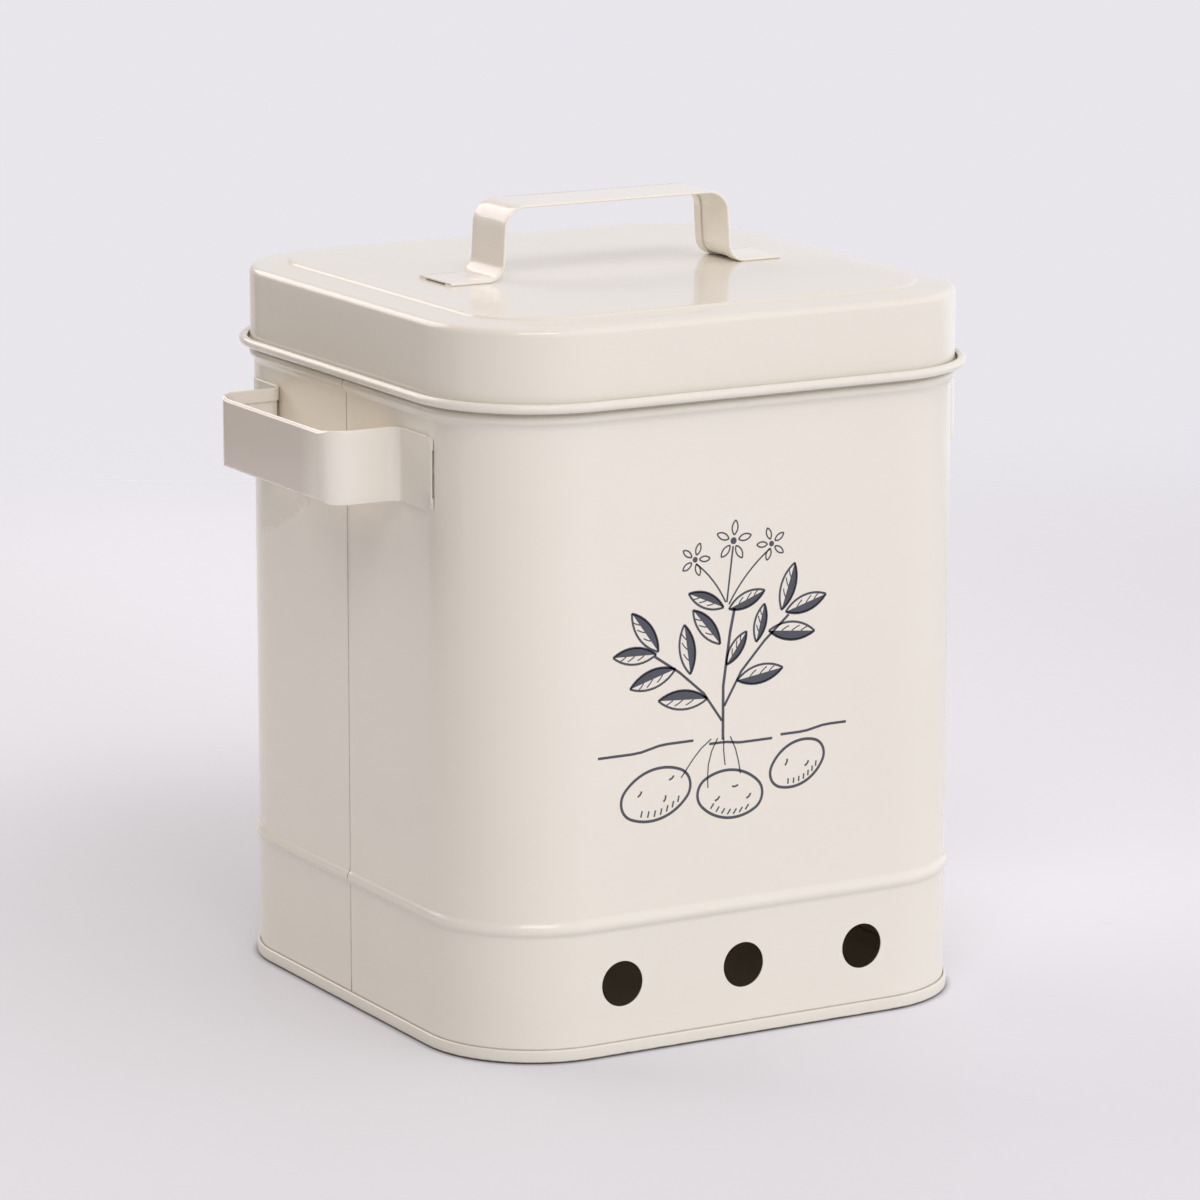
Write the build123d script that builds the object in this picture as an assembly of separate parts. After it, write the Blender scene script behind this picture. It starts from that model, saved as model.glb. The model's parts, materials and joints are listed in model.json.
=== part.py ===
"""Potato storage bin: a canister folded from thin sheet steel, with a lift-off lid.

Millimetres. The origin is the centre of the footprint on the floor, +Z is up, the front is -Y.
Every piece is bent sheet. Its section is drawn by a bending plan, a list of straight runs and
bends, and that section is then run along a second plan: round the body, or along a strap.
"""
import os
from math import acos, cos, degrees, radians, sin, tan

from build123d import *

# ---- driving dimensions ----------------------------------------------------------------------
width = 240.0               # across the flat walls, both ways
corner_radius = 48.0        # outside of the wall's upright corners
sheet = 0.4                 # gauge of the wall, the base and the lid

# base seam: wall and base plate hooked into each other and folded flat
seam_height = 5.3
seam_gap = 0.1              # between the folded layers
foot_bend = 0.7             # the two bends that leave a flat ring to stand on
hook_clearance = 0.5        # each hook ends this far short of the other piece's bend
base_panel_height = 4.6     # the sheet's middle, above the floor
base_rim_width = 12.0       # from the wall to the pressed step of the base
base_step_bend = 2.5
base_step_angle = 45.0

# wall
lower_bead_height = 55.0
lower_bead_stand_out = 1.5
lower_bead_bend = 3.04
stop_bead_height = 263.6
stop_bead_stand_out = 2.0
stop_bead_bends = (3.6, 2.0, 1.5)   # below, at the crest, above
mouth_roll_height = 296.4   # the roll's middle
mouth_roll_bend = 2.0
mouth_roll_angle = 300.0
lap_seam_shift = -2.0       # the upright seam, from the middle of the left side
lap_line = 0.3              # the open line between the two edges of the sheet
lap_width = 8.0
lap_bottom = 9.0
lap_top = 292.0
vent_diameter = 19.0
vent_spacing = 57.4
vent_height = 29.4

# lid
lid_stand_out = 1.5         # the skirt's outer face beyond the wall
lid_panel_height = 302.0
lid_panel_half = 103.5
lid_step_bend = 1.8
lid_step_angle = 44.0
lid_flange_fall = 4.0       # the flange slopes down to the edge by this many degrees
lid_edge_radius = 3.0
lid_curl_stand_out = 4.3    # the curl's middle beyond the wall
lid_curl_height = 268.9
lid_curl_bend = 1.75
lid_curl_angle = 235.0

# straps with hemmed edges
strap_sheet = 0.55
hem_gap = 0.1
hem_width = 5.5
side_strap_width = 30.5
side_strap_height = 238.2   # middle of the strap above the floor
side_strap_reach = 32.0     # the grip's outer face beyond the wall
side_strap_half = 52.5      # from its middle to a leg's outer face
side_strap_shift = 4.0      # its middle, behind the middle of the wall
side_strap_bends = (11.0, 5.0)      # grip to leg, leg to tab, on the outer face
side_tab_ends = (-76.5, 84.5)
side_tab_radius = 5.0       # the corners of the tabs
lid_strap_width = 28.0
lid_strap_height = 333.2
lid_strap_half = 54.0
lid_strap_shift = 1.5
lid_strap_bends = (10.0, 7.0)
lid_strap_splay = 3.0       # the legs lean out towards their feet by this many degrees
lid_foot_end = 79.0         # from the strap's middle
lid_foot_radius = 7.0       # the corners of the feet
trim_margin = 0.05          # the trimming outline clears the strap's long edges by this

half = width / 2
corner_middle = half - corner_radius
half_sheet = sheet / 2
layer = sheet + seam_gap
strap_thickness = 2 * strap_sheet + hem_gap


# ---- bent sheet ------------------------------------------------------------------------------
def run(length):
    """A straight stretch of a bending plan."""
    return ("run", length, 0.0)


def bend(radius, angle):
    """A bend of a bending plan. A positive angle turns left in a section, towards +X in a path."""
    return ("bend", radius, angle)


def strip_face(start, heading, plan, right, left):
    """The section of a sheet that follows a plan, between two offsets beside the plan's line."""
    place = Vector(*start)
    sides = {right: [], left: []}
    for kind, size, angle in plan:
        ahead = Vector(1, 0).rotate(Axis.Z, heading)
        beside = Vector(0, 1).rotate(Axis.Z, heading)
        if kind == "run":
            for offset, edges in sides.items():
                first = place + beside * offset
                edges.append(Edge.make_line(first, first + ahead * size))
            place = place + ahead * size
            continue
        reach = size if angle > 0 else -size
        middle = place + beside * reach
        for offset, edges in sides.items():
            spoke = beside * (offset - reach)
            stops = [middle + spoke.rotate(Axis.Z, angle * part) for part in (0, 0.5, 1)]
            edges.append(Edge.make_three_point_arc(*stops))
        place = middle - (beside * reach).rotate(Axis.Z, angle)
        heading += angle
    first_side, second_side = sides[right], sides[left]
    ends = [
        Edge.make_line(first_side[0] @ 0, second_side[0] @ 0),
        Edge.make_line(first_side[-1] @ 1, second_side[-1] @ 1),
    ]
    return Face(Wire(first_side + second_side + ends))


def run_section(section, frame, plan):
    """The solid swept by a section along a plan. The frame looks along the way of travel."""
    pieces = []
    for kind, size, angle in plan:
        face = frame * section
        if kind == "run":
            pieces.append(extrude(face, amount=size, dir=frame.z_dir))
            frame = frame.offset(size)
            continue
        turn = 1 if angle > 0 else -1
        pivot = Axis(frame.origin + frame.x_dir * (turn * size), frame.y_dir * turn)
        pieces.append(revolve(face, pivot, abs(angle)))
        spoke = frame.origin - pivot.position
        frame = Plane(
            origin=pivot.position + spoke.rotate(pivot, abs(angle)),
            x_dir=frame.x_dir.rotate(pivot, abs(angle)),
            z_dir=frame.z_dir.rotate(pivot, abs(angle)),
        )
    return pieces[0].fuse(*pieces[1:]).clean()


def bead(stand_out, lower, crest, upper):
    """The plan of a swaged bead, and its heights below and above the crest."""
    lower_angle = acos(1 - stand_out / (lower + crest))
    upper_angle = acos(1 - stand_out / (upper + crest))
    plan = [
        bend(lower, -degrees(lower_angle)),
        bend(crest, degrees(lower_angle + upper_angle)),
        bend(upper, -degrees(upper_angle)),
    ]
    return plan, (lower + crest) * sin(lower_angle), (upper + crest) * sin(upper_angle)


def round_the_body(section):
    """A section run once round the rounded square. Its X points out of the wall."""
    side = [run(2 * corner_middle), bend(corner_radius, -90)]
    start = Plane(origin=(-half, -corner_middle, 0), x_dir=(-1, 0, 0), z_dir=(0, 1, 0))
    return run_section(section, start, side * 4)


def panel_sheet(half_width, middle_height):
    """The flat middle of the lid or the base, inside its pressed step."""
    outline = RectangleRounded(2 * half_width, 2 * half_width, half_width - corner_middle)
    return extrude(Pos(0, 0, middle_height - half_sheet) * outline, amount=sheet)


# ---- body ------------------------------------------------------------------------------------
def wall_plan_above(bottom, top):
    """The plan of the upright wall between two heights, with its two beads."""
    lower_plan, lower_under, lower_over = bead(
        lower_bead_stand_out, lower_bead_bend, lower_bead_bend, lower_bead_bend
    )
    stop_plan, stop_under, stop_over = bead(stop_bead_stand_out, *stop_bead_bends)
    between = stop_bead_height - stop_under - lower_bead_height - lower_over
    return [
        run(lower_bead_height - lower_under - bottom),
        *lower_plan,
        run(between),
        *stop_plan,
        run(top - stop_bead_height - stop_over),
    ]


def body_wall():
    """The wrapped wall: hook at the foot, two beads, rolled mouth, lap seam and vents."""
    hook_bottom = sheet + seam_gap + layer + half_sheet
    hook_top = seam_height - half_sheet - layer - hook_clearance / 2
    section = strip_face(
        (2 * layer - half_sheet, hook_top),
        -90,
        [
            run(hook_top - hook_bottom),
            bend(layer, -180),
            *wall_plan_above(hook_bottom, mouth_roll_height),
            bend(mouth_roll_bend, mouth_roll_angle),
        ],
        -half_sheet,
        half_sheet,
    )
    side = run(2 * corner_middle)
    corner = bend(corner_radius, -90)
    seam_start = lap_seam_shift + lap_line / 2
    seam_end = lap_seam_shift - lap_line / 2
    start = Plane(origin=(-half, seam_start, 0), x_dir=(-1, 0, 0), z_dir=(0, 1, 0))
    plan = [run(corner_middle - seam_start), corner, side, corner, side, corner, side, corner]
    wall = run_section(section, start, [*plan, run(seam_end + corner_middle)])

    lap_section = strip_face(
        (-half_sheet, lap_bottom), 90, wall_plan_above(lap_bottom, lap_top), half_sheet, 1.5 * sheet
    )
    lap_plane = Plane(
        origin=(-half, lap_seam_shift - lap_width / 2, 0), x_dir=(-1, 0, 0), z_dir=(0, 1, 0)
    )
    wall += extrude(lap_plane * lap_section, amount=lap_width, dir=(0, 1, 0))

    vent = Rot(90, 0, 0) * Cylinder(vent_diameter / 2, corner_radius)
    for place in (-vent_spacing, 0, vent_spacing):
        wall -= Pos(place, -half, vent_height) * vent
    return wall


def base_plate():
    """The pressed base: hook, outer wall of the seam, standing ring, inner wall and raised panel."""
    seam_top = seam_height - half_sheet - layer
    hook_end = sheet + seam_gap + layer + half_sheet + hook_clearance
    foot_flat = 4 * layer - 2 * foot_bend
    foot_middle = foot_bend + half_sheet
    rim_bend = 2 * layer
    section = strip_face(
        (layer - half_sheet, hook_end),
        90,
        [
            run(seam_top - hook_end),
            bend(layer, -180),
            run(seam_top - foot_middle),
            bend(foot_bend, -90),
            run(foot_flat),
            bend(foot_bend, -90),
            run(base_panel_height - rim_bend - foot_middle),
            bend(rim_bend, 90),
            run(base_rim_width - layer - half_sheet - rim_bend),
            bend(base_step_bend, -base_step_angle),
            bend(base_step_bend, base_step_angle),
        ],
        -half_sheet,
        half_sheet,
    )
    step_run = 2 * base_step_bend * sin(radians(base_step_angle))
    step_rise = 2 * base_step_bend * (1 - cos(radians(base_step_angle)))
    panel_half = half - base_rim_width - step_run
    return round_the_body(section) + panel_sheet(panel_half, base_panel_height + step_rise)


# ---- lid -------------------------------------------------------------------------------------
def lid_cover():
    """The drawn lid: raised panel, soft edge, skirt and an open curl along its lower edge."""
    steep, fall = radians(lid_step_angle), radians(lid_flange_fall)
    step_run = lid_step_bend * (2 * sin(steep) - sin(fall))
    step_drop = lid_step_bend * (1 + cos(fall) - 2 * cos(steep))
    edge_bend = lid_edge_radius - half_sheet
    edge_run = edge_bend * (1 - sin(fall))
    edge_drop = edge_bend * cos(fall)
    flange_run = half + lid_stand_out - half_sheet - lid_panel_half - step_run - edge_run
    skirt_top = lid_panel_height - half_sheet - step_drop - flange_run * tan(fall) - edge_drop
    curl_start = lid_curl_stand_out - lid_stand_out + half_sheet
    skirt_bottom = lid_curl_height + curl_start - lid_curl_bend
    section = strip_face(
        (lid_panel_half - half, lid_panel_height - half_sheet),
        0,
        [
            bend(lid_step_bend, -lid_step_angle),
            bend(lid_step_bend, lid_step_angle - lid_flange_fall),
            run(flange_run / cos(fall)),
            bend(edge_bend, lid_flange_fall - 90),
            run(skirt_top - skirt_bottom),
            bend(curl_start, 90),
            bend(lid_curl_bend, lid_curl_angle),
        ],
        -half_sheet,
        half_sheet,
    )
    return round_the_body(section) + panel_sheet(lid_panel_half, lid_panel_height - half_sheet)


# ---- straps ----------------------------------------------------------------------------------
def strap_section(strap_width):
    """A strap's section: one sheet with both edges folded flat onto its inner face."""
    fold = strap_thickness / 2
    hem = run(hem_width - fold)
    turn = bend((strap_sheet + hem_gap) / 2, -180)
    return strip_face(
        (strap_sheet / 2, strap_width / 2 - hem_width),
        90,
        [hem, turn, run(strap_width - 2 * fold), turn, hem],
        -strap_sheet / 2,
        strap_sheet / 2,
    )


def half_strap(section, frame, reach, half_length, bends, splay, tail):
    """One end of a strap, from the middle of its grip, out, down its leg and along what bears it."""
    grip_bend, foot_bend_outer = bends
    inner_grip_bend = grip_bend - strap_thickness
    inner_foot_bend = foot_bend_outer + strap_thickness
    turn = 90 - splay
    bends_drop = (inner_grip_bend + inner_foot_bend) * (1 - cos(radians(turn)))
    plan = [
        run(half_length - grip_bend),
        bend(inner_grip_bend, -turn),
        run((reach - strap_thickness - bends_drop) / sin(radians(turn))),
        bend(inner_foot_bend, turn),
        *tail,
    ]
    return run_section(section, frame, plan)


def side_handle():
    """The left side handle. Its tabs follow the wall on round the corners."""
    section = strap_section(side_strap_width)
    grip = -half - side_strap_reach + strap_thickness
    strap = None
    for way, tab_end in zip((-1, 1), side_tab_ends):
        frame = Plane(
            origin=(grip, side_strap_shift, side_strap_height), x_dir=(-1, 0, 0), z_dir=(0, way, 0)
        )
        tab_start = side_strap_half + side_strap_bends[1] + way * side_strap_shift
        flat = corner_middle - tab_start
        wrap = degrees(2 * (abs(tab_end) - corner_middle) / corner_radius)
        tail = [run(flat), bend(corner_radius, -wrap)]
        piece = half_strap(
            section, frame, side_strap_reach, side_strap_half, side_strap_bends, 0, tail
        )
        strap = piece if strap is None else strap + piece
    front, back = side_tab_ends
    outline = RectangleRounded(back - front, side_strap_width + 2 * trim_margin, side_tab_radius)
    middle = (-half - side_strap_reach, (front + back) / 2, side_strap_height)
    trim = extrude(Plane(origin=middle, x_dir=(0, 1, 0), z_dir=(1, 0, 0)) * outline, amount=half)
    trim += extrude(
        Plane(origin=middle, x_dir=(0, 1, 0), z_dir=(-1, 0, 0)) * outline, amount=strap_thickness
    )
    return strap & trim


def lid_handle():
    """The handle on the lid: two legs with feet turned out onto the raised panel."""
    section = strap_section(lid_strap_width)
    reach = lid_strap_height - lid_panel_height
    strap = None
    for way in (-1, 1):
        frame = Plane(
            origin=(lid_strap_shift, 0, lid_strap_height - strap_thickness),
            x_dir=(0, 0, 1),
            z_dir=(way, 0, 0),
        )
        tail = [run(lid_foot_end - lid_strap_half)]
        piece = half_strap(
            section, frame, reach, lid_strap_half, lid_strap_bends, lid_strap_splay, tail
        )
        strap = piece if strap is None else strap + piece
    outline = RectangleRounded(2 * lid_foot_end, lid_strap_width + 2 * trim_margin, lid_foot_radius)
    floor = Pos(lid_strap_shift, 0, lid_panel_height - strap_thickness)
    return strap & extrude(floor * outline, amount=reach + 2 * strap_thickness)


# ---- write the pieces ------------------------------------------------------------------------
left_handle = side_handle()
pieces = {
    "body_wall": body_wall(),
    "base_plate": base_plate(),
    "side_handle_left": left_handle,
    "side_handle_right": mirror(left_handle, about=Plane.YZ),
    "lid_cover": lid_cover(),
    "lid_handle": lid_handle(),
}
os.makedirs("parts", exist_ok=True)
for name, piece in pieces.items():
    export_step(piece, f"parts/{name}.step")
    print(name, "solids", len(piece.solids()), "valid", piece.is_valid)
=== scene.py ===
# %% [markdown]
# # A folded sheet-steel storage tin
#
# The tin is six pieces of thin sheet: a wrapped wall, a base hooked into it, a pressed lid, and
# three straps of hemmed strip that serve as handles. This notebook builds each piece the way a
# tinsmith does: a sheet's section is bent up step by step, and that section is then carried round
# the tin or along the strap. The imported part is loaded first, because it fixes where everything
# goes.

# %% Load the frame
import json
import math

import bmesh
import bpy
from mathutils import Matrix, Vector

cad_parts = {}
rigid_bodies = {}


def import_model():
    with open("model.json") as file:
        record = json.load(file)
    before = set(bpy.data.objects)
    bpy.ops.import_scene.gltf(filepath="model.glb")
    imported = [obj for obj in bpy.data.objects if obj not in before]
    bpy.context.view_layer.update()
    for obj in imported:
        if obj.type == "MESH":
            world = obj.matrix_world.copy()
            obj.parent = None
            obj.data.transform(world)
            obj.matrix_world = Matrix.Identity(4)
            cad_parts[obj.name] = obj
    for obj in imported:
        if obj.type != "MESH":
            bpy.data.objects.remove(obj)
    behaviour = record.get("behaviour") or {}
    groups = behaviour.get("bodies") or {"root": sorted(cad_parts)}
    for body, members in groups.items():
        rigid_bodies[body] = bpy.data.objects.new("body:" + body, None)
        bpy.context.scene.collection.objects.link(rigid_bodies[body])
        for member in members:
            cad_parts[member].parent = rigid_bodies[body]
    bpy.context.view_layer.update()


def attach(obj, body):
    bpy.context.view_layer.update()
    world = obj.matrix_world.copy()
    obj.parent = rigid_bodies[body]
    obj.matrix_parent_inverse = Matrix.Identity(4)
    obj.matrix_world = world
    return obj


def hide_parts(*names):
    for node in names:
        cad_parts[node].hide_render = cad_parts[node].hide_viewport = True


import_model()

MM = 0.001

# %% [markdown]
# ## The tin's own measures
#
# A folded tin has few free choices. Everything follows from how wide it is, how round its corners
# are and how thick its sheet is, so those are named once here, in millimetres. Directions are named
# too: the lap seam is in the left wall, so the sections of the wall, the base and the lid are drawn
# there.

# %% Shared measures and directions
HALF = 120.0
CORNER = 48.0
CORNER_MIDDLE = HALF - CORNER
SHEET = 0.4
LAYER = 0.5
CORNER_STEPS = 20
SIDE_STEPS = 12
LEFT = Vector((-1, 0, 0))
RIGHT = -LEFT
UP = Vector((0, 0, 1))
DOWN = -UP
BACK = Vector((0, 1, 0))
print("straight part of each side:", 2 * CORNER_MIDDLE, "mm")

# %% [markdown]
# ## Drawing with a sheet
#
# Bent sheet can be made in Blender from a curve with a bevel profile, with a Screw modifier, or as
# here by hand in edit mode: a single point is extruded and spun into a section, and the section is
# extruded and spun again along its way. Extrude makes the straight runs and Spin makes the bends,
# so each bend keeps the radius that its plan gives, and one small plan language describes a section
# and a route alike.

# %% The plan language: runs and bends, in millimetres and degrees
def run(length, steps=1):
    """A straight stretch, cut into equal steps."""
    return ("run", length, 0.0, steps)


def bend(radius, angle, steps=0):
    """A bend. A positive angle turns to the side that the drawing calls beside."""
    return ("bend", radius, angle, steps or max(2, round(abs(angle) / 15)))


def take_up(name):
    """Starts a piece as a single selected point at the origin, in edit mode."""
    bpy.ops.object.select_all(action="DESELECT")
    bpy.ops.mesh.primitive_plane_add(size=MM)
    piece = bpy.context.object
    piece.name = name
    bpy.ops.object.mode_set(mode="EDIT")
    bpy.ops.mesh.select_all(action="SELECT")
    bpy.ops.mesh.merge(type="CENTER")
    return piece


def draw_out(plan, place, ahead, beside):
    """Draws what is selected along a plan that starts at a place, and returns where it ends."""
    place, ahead, beside = Vector(place) * MM, Vector(ahead), Vector(beside)
    for kind, size, angle, steps in plan:
        if kind == "run":
            for _ in range(steps):
                bpy.ops.mesh.extrude_region_move(
                    TRANSFORM_OT_translate={"value": ahead * (size * MM / steps)}
                )
            place = place + ahead * (size * MM)
            continue
        side = math.copysign(1, angle)
        pivot = place + beside * (side * size * MM)
        axis = ahead.cross(beside) * side
        # Spin turns clockwise about its axis, so it is handed the opposite one.
        bpy.ops.mesh.spin(
            steps=steps, angle=math.radians(abs(angle)), center=pivot, axis=-axis
        )
        turn = Matrix.Rotation(math.radians(abs(angle)), 3, axis)
        place = pivot + turn @ (place - pivot)
        ahead, beside = turn @ ahead, turn @ beside
    return place / MM


def draw_section(plan, start, ahead, beside):
    """Moves the piece's one point to the section's start, draws the section and selects it all."""
    bpy.ops.transform.translate(value=Vector(start) * MM)
    draw_out(plan, start, ahead, beside)
    bpy.ops.mesh.select_all(action="SELECT")


print("plan of a half turn:", bend(5, 180))

# %% [markdown]
# ## Choosing by place, and finishing a sheet
#
# Edit-mode operators work on the selection. By hand that is a box select; in a script it is a test
# on each point's coordinates. A drawn sheet has no thickness yet. The Solidify modifier gives it
# its gauge about the middle of the sheet, so a bend keeps its true inner and outer radius.

# %% Selecting, joining up and finishing
def select_where(test):
    """Selects the points of the edited mesh whose place, in millimetres, passes the test."""
    mesh = bmesh.from_edit_mesh(bpy.context.object.data)
    bpy.ops.mesh.select_all(action="DESELECT")
    chosen = [point for point in mesh.verts if test(point.co / MM)]
    for point in chosen:
        point.select = True
    mesh.select_flush(True)
    bmesh.update_edit_mesh(bpy.context.object.data)
    return len(chosen)


def close_up(distance=0.01):
    """Merges doubled points and turns all faces the same way."""
    bpy.ops.mesh.select_all(action="SELECT")
    bpy.ops.mesh.remove_doubles(threshold=distance * MM)
    bpy.ops.mesh.normals_make_consistent(inside=False)


def put_down(piece):
    """Leaves edit mode and moves the piece's place into its mesh."""
    bpy.ops.object.mode_set(mode="OBJECT")
    bpy.ops.object.transform_apply(location=True, rotation=True, scale=True)
    return piece


def hold(piece):
    """Selects one piece alone and makes it active."""
    bpy.ops.object.select_all(action="DESELECT")
    bpy.context.view_layer.objects.active = piece
    piece.select_set(True)


def apply_modifier(piece, kind, **settings):
    """Adds a modifier, sets it up and applies it."""
    hold(piece)
    modifier = piece.modifiers.new(kind.title(), kind)
    for name, value in settings.items():
        setattr(modifier, name, value)
    bpy.ops.object.modifier_apply(modifier=modifier.name)


def give_gauge(piece, thickness):
    """Thickens a drawn sheet about its middle."""
    apply_modifier(piece, "SOLIDIFY", thickness=thickness * MM, offset=0.0, use_even_offset=True)


def smooth(piece, angle=40):
    """Shades bends smooth and leaves edges sharper than the angle crisp."""
    hold(piece)
    bpy.ops.object.shade_smooth_by_angle(angle=math.radians(angle))


def report(piece):
    """Prints a piece's face count, open edges, volume and size."""
    mesh = bmesh.new()
    mesh.from_mesh(piece.data)
    open_edges = sum(1 for edge in mesh.edges if len(edge.link_faces) != 2)
    spans = [(min(v.co[i] for v in mesh.verts), max(v.co[i] for v in mesh.verts)) for i in range(3)]
    volume = mesh.calc_volume(signed=True) / MM**3
    mesh.free()
    print(piece.name, len(piece.data.polygons), "faces,", open_edges, "open edges,", round(volume),
          "mm3,", [(round(low / MM, 2), round(high / MM, 2)) for low, high in spans])


print("helpers ready")

# %% [markdown]
# ## The wrapped wall
#
# The wall is one strip of sheet. Its section starts inside the folded base seam, turns up, passes a
# swaged bead near the foot and a second one that the lid rests against, and ends rolled inwards at
# the mouth. A tinsmith rolls those lines while the strip is flat and then bends it round; here the
# section is bent first and carried round, which gives the same surface with clean corners.

# %% The wall's section
SEAM_HEIGHT = 5.3
HOOK_BOTTOM = SHEET + 0.1 + LAYER + SHEET / 2
HOOK_TOP = SEAM_HEIGHT - SHEET / 2 - LAYER - 0.25
LOWER_BEAD = dict(height=55.0, stand_out=1.5, lower=3.04, crest=3.04, upper=3.04)
STOP_BEAD = dict(height=263.6, stand_out=2.0, lower=3.6, crest=2.0, upper=1.5)
ROLL_HEIGHT = 296.4
ROLL_BEND = 2.0
ROLL_ANGLE = 300.0


def bead(height, stand_out, lower, crest, upper):
    """A swaged bead: its plan, and the heights where it starts and ends."""
    lower_angle = math.acos(1 - stand_out / (lower + crest))
    upper_angle = math.acos(1 - stand_out / (upper + crest))
    plan = [
        bend(lower, -math.degrees(lower_angle), 4),
        bend(crest, math.degrees(lower_angle + upper_angle), 8),
        bend(upper, -math.degrees(upper_angle), 4),
    ]
    start = height - (lower + crest) * math.sin(lower_angle)
    end = height + (upper + crest) * math.sin(upper_angle)
    return plan, start, end


def upright(bottom, top):
    """The plan of the wall between two heights, with its two beads."""
    lower_plan, lower_start, lower_end = bead(**LOWER_BEAD)
    stop_plan, stop_start, stop_end = bead(**STOP_BEAD)
    return [
        run(lower_start - bottom, 3),
        *lower_plan,
        run(stop_start - lower_end, 8),
        *stop_plan,
        run(top - stop_end, 2),
    ]


wall_section = [
    run(HOOK_TOP - HOOK_BOTTOM),
    bend(LAYER, -180, 6),
    *upright(HOOK_BOTTOM, ROLL_HEIGHT),
    bend(ROLL_BEND, ROLL_ANGLE, 18),
]
print("wall section:", len(wall_section), "runs and bends")

# %% Carry it round, from the lap seam back to it
LAP_MIDDLE = -2.0
LAP_LINE = 0.3
LAP_STEPS = (0.4, 0.8, 1.6, 3.2, 6.4)
lap_start = LAP_MIDDLE + LAP_LINE / 2
lap_end = LAP_MIDDLE - LAP_LINE / 2
lap_runs = [run(length) for length in LAP_STEPS]
corner = bend(CORNER, -90, CORNER_STEPS)
side = run(2 * CORNER_MIDDLE, SIDE_STEPS)

wall = take_up("wall")
draw_section(wall_section, (-HALF - 2 * LAYER + SHEET / 2, lap_start, HOOK_TOP), DOWN, LEFT)
draw_out(
    [
        *lap_runs, run(CORNER_MIDDLE - lap_start - sum(LAP_STEPS), 5), corner,
        side, corner, side, corner, side, corner,
        run(lap_end + CORNER_MIDDLE - sum(LAP_STEPS), 5), *reversed(lap_runs),
    ],
    (-HALF, lap_start, 0), BACK, LEFT,
)
close_up()
print("wall carried round:", len(bmesh.from_edit_mesh(wall.data).verts), "points")

# %% [markdown]
# ## The lap seam
#
# The wall's two ends overlap in the left side: one edge lies on top of the other and shows as a
# fine dark line with a light one beside it. Here the ends stop a hair apart. The upper edge is
# lifted and the lower one pressed in by a fraction of the gauge, point rows picked by their
# distance from the line, and a strip of the same section closes the gap from inside.

# %% Lift one edge and press the other in
LAP_BOTTOM, LAP_TOP = 9.0, 292.0
LEFT_SIDE = -100.0
ROW_SLACK = 0.05
LAP_LIFTS = ((lap_end, 0.26), (lap_end - 0.4, 0.22), (lap_end - 1.2, 0.1), (lap_start, -0.12))
for station, lift in LAP_LIFTS:
    found = select_where(
        lambda p: p.x < LEFT_SIDE and abs(p.y - station) < ROW_SLACK and LAP_BOTTOM < p.z < LAP_TOP
    )
    bpy.ops.transform.translate(value=LEFT * (lift * MM))
    print("row at", round(station, 2), "moved", lift, "mm,", found, "points")
put_down(wall)
give_gauge(wall, SHEET)


# %% The strip behind the line
def deeper(plan, offset):
    """The same plan drawn an offset further to the side that it calls beside."""
    return [
        (kind, size - math.copysign(offset, angle) if kind == "bend" else size, angle, steps)
        for kind, size, angle, steps in plan
    ]


LAP_WIDTH = 8.0
LAP_DEPTH = SHEET + 0.2
lap_strip = take_up("lap_strip")
draw_section(
    deeper(upright(LAP_BOTTOM, LAP_TOP), LAP_DEPTH),
    (-HALF + SHEET / 2 + LAP_DEPTH, LAP_MIDDLE - LAP_WIDTH / 2, LAP_BOTTOM), UP, RIGHT,
)
draw_out([run(LAP_WIDTH)], (-HALF, 0, 0), BACK, LEFT)
close_up()
put_down(lap_strip)
give_gauge(lap_strip, SHEET)
report(lap_strip)

# %% [markdown]
# ## The air vents
#
# Three round holes low in the front let air in. They are punched clean through one sheet, so a
# boolean with three round punches is the plain way. The punches have many sides, because a hole's
# outline shows against the dark inside.

# %% Punch the vents
VENT_DIAMETER = 19.0
VENT_SPACING = 57.4
VENT_HEIGHT = 29.4
PUNCH_SIDES = 72
PUNCH_DEPTH = 10.0
punches = []
for place in (-VENT_SPACING, 0, VENT_SPACING):
    bpy.ops.object.select_all(action="DESELECT")
    bpy.ops.mesh.primitive_cylinder_add(
        vertices=PUNCH_SIDES, radius=VENT_DIAMETER / 2 * MM, depth=PUNCH_DEPTH * MM,
        location=Vector((place, -HALF, VENT_HEIGHT)) * MM, rotation=(math.radians(90), 0, 0),
    )
    punches.append(bpy.context.object)
for punch in punches:
    apply_modifier(wall, "BOOLEAN", object=punch, operation="DIFFERENCE", solver="EXACT")
    bpy.data.objects.remove(punch)
hold(wall)
lap_strip.select_set(True)
bpy.ops.object.join()
smooth(wall)
report(wall)

# %% [markdown]
# ## The base
#
# The base is pressed from a second sheet. From its hidden edge it climbs between the wall and the
# wall's hook, folds over the hook, goes down outside it to a flat ring that the tin stands on, and
# rises inside the wall to a panel held clear of the shelf. The folded rim is the band that shows
# round the foot. It is the hardest thing on the tin to draw any other way, and a plan of runs and
# bends spells it out in order.

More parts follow.
